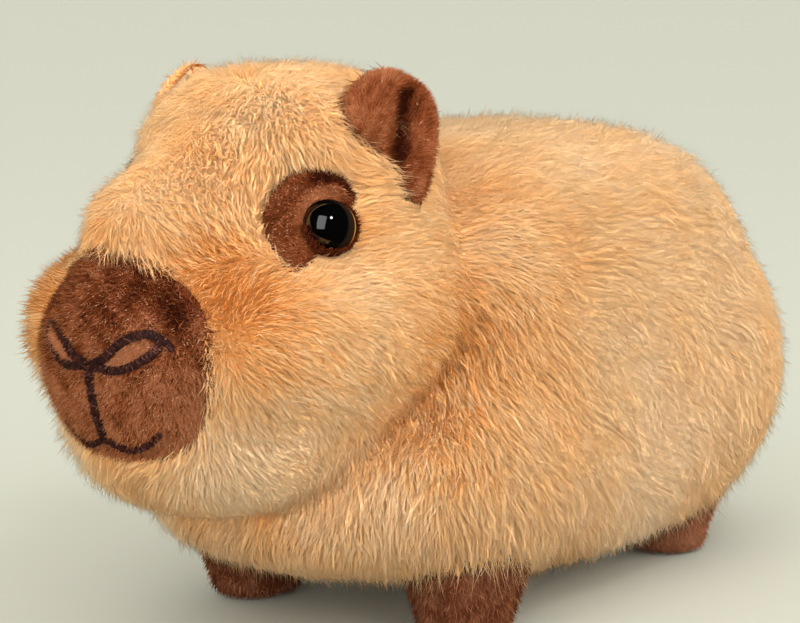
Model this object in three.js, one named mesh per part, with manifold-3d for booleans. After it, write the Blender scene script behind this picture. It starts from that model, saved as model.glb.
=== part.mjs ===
// A plush capybara toy that stands on four short feet.
// Millimetres, +Z up, floor at z = 0, nose towards -Y, the toy's left side towards +X.
// Head and torso are the outer shape of the coat, so every pad and thread lies in or on that surface.
import * as THREE from 'three';
import { mergeVertices } from 'three/addons/utils/BufferGeometryUtils.js';
import Module from 'manifold-3d';

const wasm = await Module();
wasm.setup();

// Sizes that drive the toy
const GAP = 0.3;                    // clearance between touching pieces
const BLEND = 5;                    // how softly the lobes run together
const HEAD_CORE = vec(0, -65, 86);  // point that sees the whole head surface
const BODY_CORE = vec(0, 41, 66);
const HEAD_REACH = 120;             // past the surface of the head from anywhere inside it
const BODY_REACH = 150;
const SKIN_DETAIL = 9;
const SIDE_YAW = degrees(35.6);     // eyes and ears face this far round from the nose
const PARTING = { halfWidth: 78, bottom: -6, top: 156, step: 6, front: -140, crease: 5, end: 200 };

// Lobes of stuffing: centre, half sizes and how boxy the lobe is; a lobe off the middle has a twin
const HEAD_LOBES = [
  { centre: vec(0, -56.5, 101.8), half: vec(37, 34, 43), power: 2.7 },        // skull
  { centre: vec(0, -78, 67), half: vec(33, 45, 29), power: 2.4 },             // muzzle
  { centre: vec(20, -72.5, 84), half: vec(27.5, 43.5, 20.5), power: 2.2 },    // cheeks
  { centre: vec(0, -79, 103), half: vec(20, 46.5, 24), power: 2.15 },         // bridge of the nose
];
const BODY_LOBES = [
  { centre: vec(0, 28, 67), half: vec(59, 89, 60), power: 3 },                // trunk
  { centre: vec(0, 78.5, 54), half: vec(63, 49.5, 43), power: 2.35 },         // rump
  { centre: vec(0, -33.5, 44), half: vec(51, 52, 30), power: 2.3 },           // chest
  { centre: vec(0, 40, 27), half: vec(48, 46, 21), power: 2.6 },              // fringe under the belly
  { centre: vec(46.6, -29.6, 27.7), half: vec(3.8, 14.3, 11.8), power: 2.4 }, // cuffs over the front feet
];

// Short-pile pads let into the coat
const PAD_THICKNESS = 2.5;
const PAD_FALL = 3;                 // how late the face of a pad falls away to its sunken edge
const PAD_RINGS = 6;
const POCKET_HEIGHT = 4;            // how far a pocket's cutter stands out of the coat
const MUZZLE_PAD = {
  middle: [0, 79.8],
  halfWidth: 27.5,
  halfHeight: 25.8,
  power: 2.5,
  sunk: 4.5,
  spokes: 36,
};
const EYE_PAD = {
  middle: [-24.2, 112],
  outline: [[-11.4, 0], [-11, 4], [-9, 7.3], [-5.6, 9.5], [0.4, 10.5], [4.6, 9.6], [8, 7.9], [11.5, 3.8],
    [9.6, 0], [7, -3.6], [2.4, -7.2], [-1.2, -9], [-4.2, -10.2], [-7, -8.6], [-9.6, -5.6]],
  sunk: 3,
  spokes: 40,
};

// The lid is a raised fold of the eye pad over the top of the eye
const LID = { at: 0.8, width: 0.16, rise: 2.2, turn: degrees(20), span: [0.3, 0.8] };

// Plastic eye: a bulging dome with its middle under the coat
const EYE = { across: -20.5, up: 109.2, sink: 2.5, radius: 6.5, around: 22, down: 14 };

// Cupped ear, drawn face on in the plane that the eyes and ears look out of
const EAR_SPOT = { across: -5, up: 128.8, into: -62.5, sweep: 0.85, lean: 0.25 };
const EAR_OUTLINE = [[9.3, 0], [8.1, 7.2], [4.6, 11.5], [-2.3, 14.8], [-8.6, 13.4], [-12.9, 8], [-12, 1],
  [-6, -6], [0, -14], [4.6, -17.6], [7.8, -10]];
const EAR_FRONT_PUFF = 3;
const EAR_LOBE_PUFF = 2.2;
const EAR_BACK_PUFF = 4;
const EAR_EDGE = 0.6;
const EAR_ROUNDING = 4;
const EAR_RINGS = 8;
const EAR_SPOKES = 32;
const EAR_POCKET_HEIGHT = 16;
const EAR_FOLD = {
  depth: 5.2,
  x: -1,
  slope: 0.1,
  front: 2.6,
  rear: 5.5,
  low: [-13, -3],
  high: [7, 12],
  lobeEnd: [-3, 1],
};

// Embroidery on the muzzle
const THREAD_HALF_WIDTH = 1;
const THREAD_HALF_HEIGHT = 0.6;
const THREAD_SIDES = 6;
const NOSTRIL_OUTLINE = [[1.5, 79.5], [4.4, 78.3], [8.5, 78.8], [13, 80.7], [16.8, 83.3], [18.4, 86.6],
  [15.8, 88.3], [11.6, 87], [7.6, 84.6], [3.8, 82]];
const NOSTRIL_STEPS = 26;
const PHILTRUM = { top: 76.6, bottom: 63.7, steps: 7 };
const MOUTH_HALF = [[0, 61.7], [2.9, 60.5], [6.6, 59.3], [11, 60.6], [15.4, 64.1]];
const MOUTH_STEPS = 26;

// Feet: sole on the floor, flaring upwards into the belly
const FOOT = { across: 34, halfWidth: 12, edge: 4.5, shoulder: 8, top: 25, around: 22 };
const FRONT_FOOT = { along: -27.5, halfLength: 14.5, flare: 1.3 };
const HIND_FOOT = { along: 77, halfLength: 12, flare: 1.3 };

const LOOKS = {
  gold: { color: 0xe6b27c, roughness: 0.95, metalness: 0 },
  brown: { color: 0x70402a, roughness: 0.95, metalness: 0 },
  thread: { color: 0x4a271a, roughness: 0.7, metalness: 0 },
  eye: { color: 0x060504, roughness: 0.08, metalness: 0 },
};

function vec(x, y, z) {
  return new THREE.Vector3(x, y, z);
}

function degrees(angle) {
  return THREE.MathUtils.degToRad(angle);
}

// Signed measure of one lobe: below zero inside, above zero outside
function lobeValue(point, lobe, side) {
  const { centre, half, power } = lobe;
  const sum = Math.abs((point.x - side * centre.x) / half.x) ** power
    + Math.abs((point.y - centre.y) / half.y) ** power
    + Math.abs((point.z - centre.z) / half.z) ** power;
  return (sum ** (1 / power) - 1) * Math.min(half.x, half.y, half.z);
}

function blendedShape(lobes) {
  return (point) => {
    let total = 0;
    for (const lobe of lobes) {
      total += Math.exp(-lobeValue(point, lobe, 1) / BLEND);
      if (lobe.centre.x !== 0) total += Math.exp(-lobeValue(point, lobe, -1) / BLEND);
    }
    return -BLEND * Math.log(total);
  };
}

const headShape = blendedShape(HEAD_LOBES);
const bodyShape = blendedShape(BODY_LOBES);

// Where a line from an inner point leaves a shape
function crossing(shape, inner, direction, reach) {
  let near = 0;
  let far = reach;
  for (let step = 0; step < 30; step += 1) {
    const middle = (near + far) / 2;
    const inside = shape(inner.clone().addScaledVector(direction, middle)) < 0;
    if (inside) near = middle;
    else far = middle;
  }
  return inner.clone().addScaledVector(direction, near);
}

function normalAt(shape, point) {
  const step = 0.5;
  const slope = (dx, dy, dz) => shape(vec(point.x + dx, point.y + dy, point.z + dz))
    - shape(vec(point.x - dx, point.y - dy, point.z - dz));
  return vec(slope(step, 0, 0), slope(0, step, 0), slope(0, 0, step)).normalize();
}

// Closed surface of a shape, seen from its core, moved outwards by an offset
function skinOf(shape, core, offset = 0) {
  const geometry = new THREE.IcosahedronGeometry(1, SKIN_DETAIL);
  const position = geometry.attributes.position;
  for (let i = 0; i < position.count; i += 1) {
    const direction = vec().fromBufferAttribute(position, i).normalize();
    const point = crossing(shape, core, direction, BODY_REACH);
    point.addScaledVector(normalAt(shape, point), offset);
    position.setXYZ(i, point.x, point.y, point.z);
  }
  return geometry;
}

// Planes that the face is drawn in: across, up, and into the head
const FRONT = { across: vec(1, 0, 0), into: vec(0, 1, 0) };
const SIDE = {
  across: vec(Math.cos(SIDE_YAW), Math.sin(SIDE_YAW), 0),
  into: vec(-Math.sin(SIDE_YAW), Math.cos(SIDE_YAW), 0),
};

function planePoint(plane, across, up, into) {
  return vec(0, 0, up).addScaledVector(plane.across, across).addScaledVector(plane.into, into);
}

// Point on the head under a drawn point, raised along the surface's own normal
function facePoint(plane, across, up, rise) {
  const inner = planePoint(plane, across, up, HEAD_CORE.dot(plane.into));
  const outward = plane.into.clone().negate();
  const point = crossing(headShape, inner, outward, HEAD_REACH);
  return point.addScaledVector(normalAt(headShape, point), rise);
}

function toSolid(geometry) {
  geometry.deleteAttribute('normal');
  geometry.deleteAttribute('uv');
  const merged = mergeVertices(geometry, 1e-4);
  return new wasm.Manifold(new wasm.Mesh({
    numProp: 3,
    vertProperties: new Float32Array(merged.attributes.position.array),
    triVerts: new Uint32Array(merged.index.array),
  }));
}

// A cut can leave scraps: the largest closed surface is the piece
function toGeometry(solid) {
  const pieces = solid.decompose().sort((a, b) => b.volume() - a.volume());
  const mesh = pieces[0].getMesh();
  const geometry = new THREE.BufferGeometry();
  geometry.setAttribute('position', new THREE.BufferAttribute(new Float32Array(mesh.vertProperties), 3));
  geometry.setIndex(new THREE.BufferAttribute(new Uint32Array(mesh.triVerts), 1));
  return geometry;
}

function polygonMesh(points, triangles) {
  const geometry = new THREE.BufferGeometry();
  const numbers = points.flatMap((point) => [point.x, point.y, point.z]);
  geometry.setAttribute('position', new THREE.Float32BufferAttribute(numbers, 3));
  geometry.setIndex(triangles);
  return geometry;
}

// Closed disc-like body: rings of front points, the same rings of back points, and a wall at the edge
function discBody(rings, spokes, frontPoint, backPoint) {
  const points = [];
  const triangles = [];
  const layer = (makePoint) => {
    const first = points.length;
    points.push(makePoint(0, 0));
    for (let ring = 1; ring <= rings; ring += 1) {
      for (let spoke = 0; spoke < spokes; spoke += 1) {
        points.push(makePoint(ring / rings, (spoke / spokes) * 2 * Math.PI));
      }
    }
    return (ring, spoke) => (ring === 0 ? first : first + 1 + (ring - 1) * spokes + (spoke % spokes));
  };
  const front = layer(frontPoint);
  const back = layer(backPoint);
  for (let spoke = 0; spoke < spokes; spoke += 1) {
    triangles.push(front(0, 0), front(1, spoke), front(1, spoke + 1));
    triangles.push(back(0, 0), back(1, spoke + 1), back(1, spoke));
    for (let ring = 1; ring < rings; ring += 1) {
      const a = [ring, spoke];
      const b = [ring + 1, spoke];
      const c = [ring + 1, spoke + 1];
      const d = [ring, spoke + 1];
      triangles.push(front(...a), front(...b), front(...c), front(...a), front(...c), front(...d));
      triangles.push(back(...a), back(...c), back(...b), back(...a), back(...d), back(...c));
    }
    triangles.push(front(rings, spoke), back(rings, spoke), back(rings, spoke + 1));
    triangles.push(front(rings, spoke), back(rings, spoke + 1), front(rings, spoke + 1));
  }
  return polygonMesh(points, triangles);
}

// Angle from one direction to another, the short way round
function turnBetween(one, other) {
  return Math.abs(Math.atan2(Math.sin(one - other), Math.cos(one - other)));
}

// Radius of a closed smooth outline in each direction from its middle
function outlineRadius(outline) {
  const curve = new THREE.CatmullRomCurve3(outline.map(([x, y]) => vec(x, y, 0)), true, 'centripetal');
  const samples = curve.getPoints(360);
  return (angle) => {
    const apart = (sample) => turnBetween(Math.atan2(sample.y, sample.x), angle);
    const nearest = samples.reduce((best, sample) => (apart(sample) < apart(best) ? sample : best));
    return Math.hypot(nearest.x, nearest.y);
  };
}

function superellipseRadius(halfWidth, halfHeight, power) {
  return (angle) => (Math.abs(Math.cos(angle) / halfWidth) ** power
    + Math.abs(Math.sin(angle) / halfHeight) ** power) ** (-1 / power);
}

// Height of a pad's face over the head shape, from its middle to its edge
function padBed(pad, rho) {
  return -pad.sunk * rho ** PAD_FALL;
}

// A pad or ear fits as drawn; its pocket is larger all round and open to the outside
const AS_DRAWN = { grow: 0, below: 0 };
const POCKET = { grow: GAP, above: POCKET_HEIGHT, below: GAP };
const EAR_POCKET = { grow: GAP, above: EAR_POCKET_HEIGHT, below: GAP };

// A short-pile pad let into the head, or the pocket that the head keeps for it
function padBody(plane, pad, radius, fold, { grow, above, below }) {
  const place = (rho, angle, rise) => {
    const reach = rho * (radius(angle) + grow);
    const across = pad.middle[0] + reach * Math.cos(angle);
    const up = pad.middle[1] + reach * Math.sin(angle);
    return facePoint(plane, across, up, rise);
  };
  return discBody(
    PAD_RINGS,
    pad.spokes,
    (rho, angle) => place(rho, angle, above ?? padBed(pad, rho) + fold(rho, angle)),
    (rho, angle) => place(rho, angle, padBed(pad, rho) - PAD_THICKNESS - below),
  );
}

const muzzleRadius = superellipseRadius(MUZZLE_PAD.halfWidth, MUZZLE_PAD.halfHeight, MUZZLE_PAD.power);

function muzzlePad(fit) {
  return padBody(FRONT, MUZZLE_PAD, muzzleRadius, () => 0, fit);
}

function eyePad(fit) {
  const fold = (rho, angle) => {
    const overEye = THREE.MathUtils.smoothstep(Math.sin(angle + LID.turn), ...LID.span);
    return LID.rise * overEye * Math.exp(-(((rho - LID.at) / LID.width) ** 2));
  };
  return padBody(SIDE, EYE_PAD, outlineRadius(EYE_PAD.outline), fold, fit);
}

function eyeDome() {
  const centre = facePoint(SIDE, EYE.across, EYE.up, -EYE.sink);
  const geometry = new THREE.SphereGeometry(EYE.radius, EYE.around, EYE.down);
  geometry.translate(centre.x, centre.y, centre.z);
  return geometry;
}

// Face of the ear: puffed lobes either side of a deep fold, steep in front and easing out behind
function earFront(rho, x, z) {
  const rounded = Math.sqrt(1 - rho ** EAR_ROUNDING);
  const foldX = EAR_FOLD.x + EAR_FOLD.slope * z;
  const width = x < foldX ? EAR_FOLD.front : EAR_FOLD.rear;
  const along = THREE.MathUtils.smoothstep(z, ...EAR_FOLD.low)
    * (1 - THREE.MathUtils.smoothstep(z, ...EAR_FOLD.high));
  const fold = EAR_FOLD.depth * along * Math.exp(-(((x - foldX) / width) ** 2));
  const lobe = EAR_LOBE_PUFF * (1 - THREE.MathUtils.smoothstep(x - foldX, ...EAR_FOLD.lobeEnd));
  return EAR_EDGE + rounded * (EAR_FRONT_PUFF + lobe - fold);
}

// An ear standing in the side of the head, or the pocket that the head keeps for it
function ear({ grow, above, below }) {
  const radius = outlineRadius(EAR_OUTLINE);
  const { across, up, into, sweep, lean } = EAR_SPOT;
  const place = (rho, angle, forward) => {
    const reach = rho * (radius(angle) + grow);
    const x = reach * Math.cos(angle);
    const z = reach * Math.sin(angle);
    return planePoint(SIDE, across + x, up + z, into + sweep * x + lean * z - forward(x, z));
  };
  const back = (rho) => EAR_EDGE + EAR_BACK_PUFF * Math.sqrt(1 - rho ** EAR_ROUNDING) + below;
  return discBody(
    EAR_RINGS,
    EAR_SPOKES,
    (rho, angle) => place(rho, angle, (x, z) => above ?? earFront(rho, x, z)),
    (rho, angle) => place(rho, angle, () => -back(rho)),
  );
}

// Height of the muzzle pad's face over the head shape at a drawn point
function padRise(across, up) {
  const dx = across - MUZZLE_PAD.middle[0];
  const dz = up - MUZZLE_PAD.middle[1];
  return padBed(MUZZLE_PAD, Math.hypot(dx, dz) / muzzleRadius(Math.atan2(dz, dx)));
}

// A flat band of thread lying on the muzzle along drawn points
function threadBand(drawn, closed) {
  const points = [];
  const triangles = [];
  const along = drawn.map(([x, z]) => facePoint(FRONT, x, z, padRise(x, z) + GAP + THREAD_HALF_HEIGHT));
  const count = along.length;
  along.forEach((point, i) => {
    const before = closed ? along[(i + count - 1) % count] : along[Math.max(0, i - 1)];
    const after = closed ? along[(i + 1) % count] : along[Math.min(count - 1, i + 1)];
    const tangent = after.clone().sub(before).normalize();
    const normal = normalAt(headShape, point);
    const across = tangent.clone().cross(normal).normalize();
    const upright = across.clone().cross(tangent);
    for (let side = 0; side < THREAD_SIDES; side += 1) {
      const angle = (side / THREAD_SIDES) * 2 * Math.PI;
      points.push(point.clone()
        .addScaledVector(across, THREAD_HALF_WIDTH * Math.cos(angle))
        .addScaledVector(upright, THREAD_HALF_HEIGHT * Math.sin(angle)));
    }
  });
  const stretches = closed ? count : count - 1;
  for (let i = 0; i < stretches; i += 1) {
    const next = (i + 1) % count;
    for (let side = 0; side < THREAD_SIDES; side += 1) {
      const nextSide = (side + 1) % THREAD_SIDES;
      const a = i * THREAD_SIDES + side;
      const b = i * THREAD_SIDES + nextSide;
      const c = next * THREAD_SIDES + nextSide;
      const d = next * THREAD_SIDES + side;
      triangles.push(a, c, b, a, d, c);
    }
  }
  if (!closed) {
    const last = (count - 1) * THREAD_SIDES;
    for (let side = 1; side < THREAD_SIDES - 1; side += 1) {
      triangles.push(0, side, side + 1);
      triangles.push(last, last + side + 1, last + side);
    }
  }
  return polygonMesh(points, triangles);
}

// Points evenly spread along a smooth line through drawn ones
function smoothLine(drawn, closed, steps) {
  const curve = new THREE.CatmullRomCurve3(drawn.map(([x, z]) => vec(x, 0, z)), closed);
  const points = curve.getSpacedPoints(steps).map((point) => [point.x, point.z]);
  return closed ? points.slice(1) : points;
}

function nostril() {
  return threadBand(smoothLine(NOSTRIL_OUTLINE, true, NOSTRIL_STEPS), true);
}

function philtrum() {
  const { top, bottom, steps } = PHILTRUM;
  return threadBand(smoothLine([[0, top], [0, bottom]], false, steps), false);
}

function mouth() {
  const left = MOUTH_HALF.slice(1).reverse().map(([x, z]) => [-x, z]);
  return threadBand(smoothLine([...left, ...MOUTH_HALF], false, MOUTH_STEPS), false);
}

// Quarter round of a turned profile, from one angle to another about a centre
function quarterRound(centreX, centreZ, radius, from, to) {
  const corners = 3;
  const points = [];
  for (let i = 0; i <= corners; i += 1) {
    const angle = THREE.MathUtils.lerp(from, to, i / corners);
    points.push(new THREE.Vector2(centreX + radius * Math.cos(angle), centreZ + radius * Math.sin(angle)));
  }
  return points;
}

// Foot as a turned profile with a flat sole and a rounded top, stretched from front to back
function foot({ along, halfLength, flare }) {
  const { across, halfWidth, edge, shoulder, top, around } = FOOT;
  const profile = [
    new THREE.Vector2(0, 0),
    ...quarterRound(halfWidth - edge, edge, edge, -Math.PI / 2, 0),
    ...quarterRound(halfWidth * flare - shoulder, top - shoulder, shoulder, 0, Math.PI / 2),
    new THREE.Vector2(0, top),
  ];
  const geometry = new THREE.LatheGeometry(profile, around);
  geometry.rotateX(Math.PI / 2);
  geometry.scale(1, halfLength / halfWidth, 1);
  geometry.translate(across, along, 0);
  return geometry;
}

function mirrored(solid) {
  return solid.mirror([1, 0, 0]);
}

// Cutter for one side of the parting face, where the head gives way to the body.
// The head wins by the depth of the crease that runs round its jaw and neck.
// The cutter runs from that face, kept a little clear, out past the end of the piece that it takes away.
function partingCutter(clearance, farY) {
  const { halfWidth, bottom, top, step, front, crease } = PARTING;
  const columns = Math.round((2 * halfWidth) / step);
  const rows = Math.round((top - bottom) / step);
  const difference = (point) => headShape(point) - bodyShape(point) - crease - clearance;
  const along = vec(0, 1, 0);
  const sheetPoint = (column, row) => {
    const start = vec(-halfWidth + column * step, front, bottom + row * step);
    return crossing(difference, start, along, BODY_CORE.y - front);
  };
  const farPoint = (column, row) => vec(-halfWidth + column * step, farY, bottom + row * step);
  return gridBody(columns, rows, sheetPoint, farPoint, farY > front);
}

// Closed slab between a bent sheet and a flat one with the same grid
function gridBody(columns, rows, sheetPoint, farPoint, flip) {
  const points = [];
  const layer = (makePoint) => {
    const first = points.length;
    for (let row = 0; row <= rows; row += 1) {
      for (let column = 0; column <= columns; column += 1) points.push(makePoint(column, row));
    }
    return (column, row) => first + row * (columns + 1) + column;
  };
  const sheet = layer(sheetPoint);
  const far = layer(farPoint);
  const triangles = [];
  const face = (a, b, c) => (flip ? triangles.push(a, b, c) : triangles.push(a, c, b));
  const quad = (a, b, c, d) => {
    face(a, b, c);
    face(a, c, d);
  };
  for (let row = 0; row < rows; row += 1) {
    for (let column = 0; column < columns; column += 1) {
      quad(sheet(column, row), sheet(column + 1, row), sheet(column + 1, row + 1), sheet(column, row + 1));
      quad(far(column, row), far(column, row + 1), far(column + 1, row + 1), far(column + 1, row));
    }
    quad(sheet(0, row), sheet(0, row + 1), far(0, row + 1), far(0, row));
    quad(sheet(columns, row), far(columns, row), far(columns, row + 1), sheet(columns, row + 1));
  }
  for (let column = 0; column < columns; column += 1) {
    quad(sheet(column, 0), far(column, 0), far(column + 1, 0), sheet(column + 1, 0));
    quad(sheet(column, rows), sheet(column + 1, rows), far(column + 1, rows), far(column, rows));
  }
  return polygonMesh(points, triangles);
}

const headWhole = toSolid(skinOf(headShape, HEAD_CORE));
const bodyWhole = toSolid(skinOf(bodyShape, BODY_CORE));
const headSide = toSolid(partingCutter(GAP, -PARTING.end));
const bodySide = toSolid(partingCutter(-GAP, PARTING.end));
const headClear = toSolid(skinOf(headShape, HEAD_CORE, GAP));
const bodyClear = toSolid(skinOf(bodyShape, BODY_CORE, GAP));

const eyePocket = toSolid(eyePad(POCKET));
const earPocket = toSolid(ear(EAR_POCKET));
const torso = bodyWhole.subtract(headSide);
const head = headWhole
  .subtract(bodySide)
  .subtract(toSolid(muzzlePad(POCKET)))
  .subtract(eyePocket)
  .subtract(mirrored(eyePocket))
  .subtract(earPocket)
  .subtract(mirrored(earPocket));

const toy = new THREE.Group();

function add(name, solid, look) {
  const mesh = new THREE.Mesh(toGeometry(solid), new THREE.MeshStandardMaterial(LOOKS[look]));
  mesh.name = name;
  toy.add(mesh);
}

function addPair(name, solid, look) {
  add(`${name}_left`, solid, look);
  add(`${name}_right`, mirrored(solid), look);
}

add('torso', torso, 'gold');
add('head', head, 'gold');
add('muzzle_patch', toSolid(muzzlePad(AS_DRAWN)), 'brown');
add('philtrum', toSolid(philtrum()), 'thread');
add('mouth', toSolid(mouth()), 'thread');
addPair('nostril', toSolid(nostril()), 'thread');
addPair('eye_patch', toSolid(eyePad(AS_DRAWN)), 'brown');
addPair('eye', toSolid(eyeDome()).subtract(headClear), 'eye');
addPair('ear', toSolid(ear(AS_DRAWN)), 'brown');
addPair('foot_front', toSolid(foot(FRONT_FOOT)).subtract(bodyClear), 'brown');
addPair('foot_hind', toSolid(foot(HIND_FOOT)).subtract(bodyClear), 'brown');

export default toy;
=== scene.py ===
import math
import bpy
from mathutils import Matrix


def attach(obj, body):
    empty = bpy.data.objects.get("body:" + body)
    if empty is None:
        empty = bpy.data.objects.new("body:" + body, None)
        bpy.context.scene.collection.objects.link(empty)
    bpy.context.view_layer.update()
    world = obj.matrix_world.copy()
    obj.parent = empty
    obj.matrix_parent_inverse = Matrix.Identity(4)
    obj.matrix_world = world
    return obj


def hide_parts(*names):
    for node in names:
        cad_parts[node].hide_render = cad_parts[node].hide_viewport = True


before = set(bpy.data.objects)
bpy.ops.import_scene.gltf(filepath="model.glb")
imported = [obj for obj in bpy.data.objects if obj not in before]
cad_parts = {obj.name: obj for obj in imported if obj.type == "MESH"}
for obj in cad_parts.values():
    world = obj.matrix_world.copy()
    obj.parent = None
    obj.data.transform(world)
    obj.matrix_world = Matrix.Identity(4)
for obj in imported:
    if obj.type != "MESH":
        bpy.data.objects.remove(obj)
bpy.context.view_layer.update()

# A plush capybara toy on a pale studio floor.
# Worked out in millimetres and handed to Blender in metres.
# The nose points towards -Y and the toy's left side towards +X.
from types import SimpleNamespace

import bmesh
import bpy
import numpy as np
from mathutils import Vector, kdtree

MM = 0.001
rng = np.random.default_rng(11)
scene = bpy.context.scene
SIDES = {"left": 1, "right": -1}

# Camera
EYE_POINT = np.array((334.7, -476.0, 164.2))
LOOK = np.array((-0.5756, 0.804, -0.1495))
LENS = 98.96

# Shape of the coat, as in the part's source
BLEND = 5
HEAD_CORE = np.array((0, -65, 86))
BODY_CORE = np.array((0, 41, 66))
HEAD_LOBES = (
    ((0, -56.5, 101.8), (37, 34, 43), 2.7),
    ((0, -78, 67), (33, 45, 29), 2.4),
    ((20, -72.5, 84), (27.5, 43.5, 20.5), 2.2),
    ((0, -79, 103), (20, 46.5, 24), 2.15),
)
BODY_LOBES = (
    ((0, 28, 67), (59, 89, 60), 3),
    ((0, 78.5, 54), (63, 49.5, 43), 2.35),
    ((0, -33.5, 44), (51, 52, 30), 2.3),
    ((0, 40, 27), (48, 46, 21), 2.6),
)
SIDE_YAW = math.radians(35.6)
FRONT = (np.array((1.0, 0, 0)), np.array((0, 1.0, 0)))
SIDE = (
    np.array((math.cos(SIDE_YAW), math.sin(SIDE_YAW), 0)),
    np.array((-math.sin(SIDE_YAW), math.cos(SIDE_YAW), 0)),
)
MUZZLE_MIDDLE = (0, 79.8)
MUZZLE_HALF = (27.5, 25.8)
MUZZLE_POWER = 2.5
MUZZLE_SUNK = 4.5
MUZZLE_REAR = -92
MUZZLE_TIP = np.array((0, -126, 80.0))
EYE_PATCH_MIDDLE = (-24.2, 112)
EYE_PATCH_OUTLINE = (
    (-11.4, 0), (-11, 4), (-9, 7.3), (-5.6, 9.5), (0.4, 10.5), (4.6, 9.6), (8, 7.9), (11.5, 3.8),
    (9.6, 0), (7, -3.6), (2.4, -7.2), (-1.2, -9), (-4.2, -10.2), (-7, -8.6), (-9.6, -5.6),
)
EYE_PATCH_SUNK = 3
EYE_PATCH_HIDDEN = 0.9
LID = {"at": 0.84, "width": 0.14, "rise": 1.3}
EYE_RADIUS = 6.5
EYE_SPOT = (-20.5, 109.2)
EYE_SINK = 2.5
EYE_EDGE = 46
EAR_PILE = 0.9
EAR = {"across": -5, "up": 128.8, "into": -62.5, "sweep": 0.85, "lean": 0.25}
EAR_OUTLINE = (
    (9.3, 0), (8.1, 7.2), (4.6, 11.5), (-2.3, 14.8), (-8.6, 13.4), (-12.9, 8), (-12, 1),
    (-6, -6), (0, -14), (4.6, -17.6), (7.8, -10),
)
EAR_FOLD = {"depth": 5.2, "x": -1, "slope": 0.1, "front": 2.6, "rear": 5.5}
NOSTRIL_OUTLINE = (
    (1.0, 80), (4.8, 79.2), (8.6, 79.4), (12.6, 81), (16, 83.4), (17.6, 86.2),
    (15.4, 87.8), (11.4, 86.8), (7.8, 84.6), (4.4, 81.6),
)
NOSTRIL_TAIL = ((16.6, 87.4), (18.4, 86.6), (20.2, 84.6))
THREAD_HALF = {"nostril": 1.0, "tail": 0.8, "philtrum": 0.95, "mouth": 0.8}
THREAD_SUNK = 0.6
THREAD_CLEAR = 0.6
PHILTRUM = (78.8, 63)
MOUTH_HALF = ((0, 61.7), (2.9, 60.5), (6.6, 59.3), (11, 60.6), (15.4, 64.1))
FOOT = {"across": 34, "half_width": 12, "edge": 4.5, "shoulder": 8, "top": 25, "flare": 1.3}
FLOOR_RADIUS = 40000
FEET = {
    "front": {"along": -27.5, "half_length": 14.5, "tone": 0.6},
    "hind": {"along": 77, "half_length": 12, "tone": 0.85},
}

# Coat
HEAD_PILE = 3.2
BODY_PILE = 5
PAD_PILE = 5.5
SHORT_PILE = 1.3
CREASE = 3.5
TUFTS = {
    "coat": 56000, "underfur": 168000, "muzzle": 23000, "eye_patch": 4200,
    "ear": 10500, "ear_back": 7500, "foot": 3400, "rim": 1100,
}
LONG_TUFT = {"head": 6.6, "body": 9.0, "width": 0.36}
BEND = 0.45
FINE = (0.26, 0.4)
COARSE = (0.35, 0.5)
UV_PATCH = 0.003
FAR_OUT = 9
REGIONS = (
    ("face", True, -200, -82), ("cheek", True, -82, 200),
    ("shoulder", False, -200, 0), ("flank", False, 0, 62), ("rump", False, 62, 200),
)

# How the fur lies: places on the toy's left and the way the hair points there
LIE = (
    ((0, -123, 113), (9, -2, -4)), ((6, -119, 115), (7, -3, -7)), ((2, -100, 126), (6, -6, -3)),
    ((2, -86, 134), (4, -6, -6)), ((11, -101, 122), (6, -5, -6)), ((18, -92, 119), (3, -4, -9)),
    ((21, -77, 137), (5, -5, -7)), ((21, -64, 141), (8, 4, -4)), ((0, -55, 145), (4, 9, 0)),
    ((15, -114, 107), (5, 3, -8)), ((17, -104, 112), (4, -1, -9)), ((24, -106, 102), (8, 2, -5)),
    ((27, -115, 93), (9, 4, -2)), ((33, -114, 87), (8, 6, -3)), ((39, -90, 99), (5, 9, -2)),
    ((38, -73, 107), (3, 10, -1)), ((45, -86, 93), (4, 8, -5)), ((38, -107, 80), (5, 7, -5)),
    ((29, -110, 64), (2, 8, -6)), ((48, -83, 82), (0, 7, -7)), ((40, -57, 104), (0, 10, -2)),
    ((47, -60, 86), (0, 8, -5)), ((42, -67, 67), (-4, 8, -4)), ((30, -97, 55), (-1, 8, -6)),
    ((10, -115, 50), (-3, 6, -8)), ((0, -35, 128), (1, 10, -2)), ((44, -62, 54), (0, -4, -9)),
    ((32, -77, 39), (-1, 1, -10)), ((0, -83, 34), (0, 2, -10)), ((50, -45, 58), (2, -2, -9)),
    ((48, -42, 80), (2, 0, -10)), ((53, -30, 72), (2, 2, -10)), ((32, -32, 116), (9, 4, -2)),
    ((25, -9, 124), (7, 7, -1)), ((38, 5, 121), (5, 9, -2)), ((47, -24, 106), (5, 8, -4)),
    ((54, 3, 102), (1, 10, -2)), ((56, 42, 98), (1, 10, -3)), ((57, 74, 87), (2, 7, -7)),
    ((58, -3, 82), (1, 7, -7)), ((59, 26, 73), (0, 7, -7)), ((63, 59, 67), (1, 5, -9)),
    ((57, -21, 57), (1, 5, -9)), ((60, 26, 50), (0, 5, -8)), ((64, 81, 52), (0, 2, -10)),
    ((55, -20, 34), (-1, 4, -9)), ((54, 36, 28), (-3, 7, -6)), ((44, -46, 22), (-1, 2, -10)),
    ((48, -28, 22), (1, 1, -10)), ((47, 20, 14), (-1, 3, -10)), ((0, 30, 127), (2, 10, 0)),
    ((0, 95, 112), (2, 8, -5)), ((0, 127, 60), (1, 2, -10)), ((45, 118, 55), (2, 3, -10)),
    ((0, 20, 5), (1, 10, 0)), ((0, -60, 15), (0, 8, -5)), ((0, 110, 14), (0, 8, -3)),
)
LIE_REACH = 5.0
PARTING = 5.0

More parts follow.
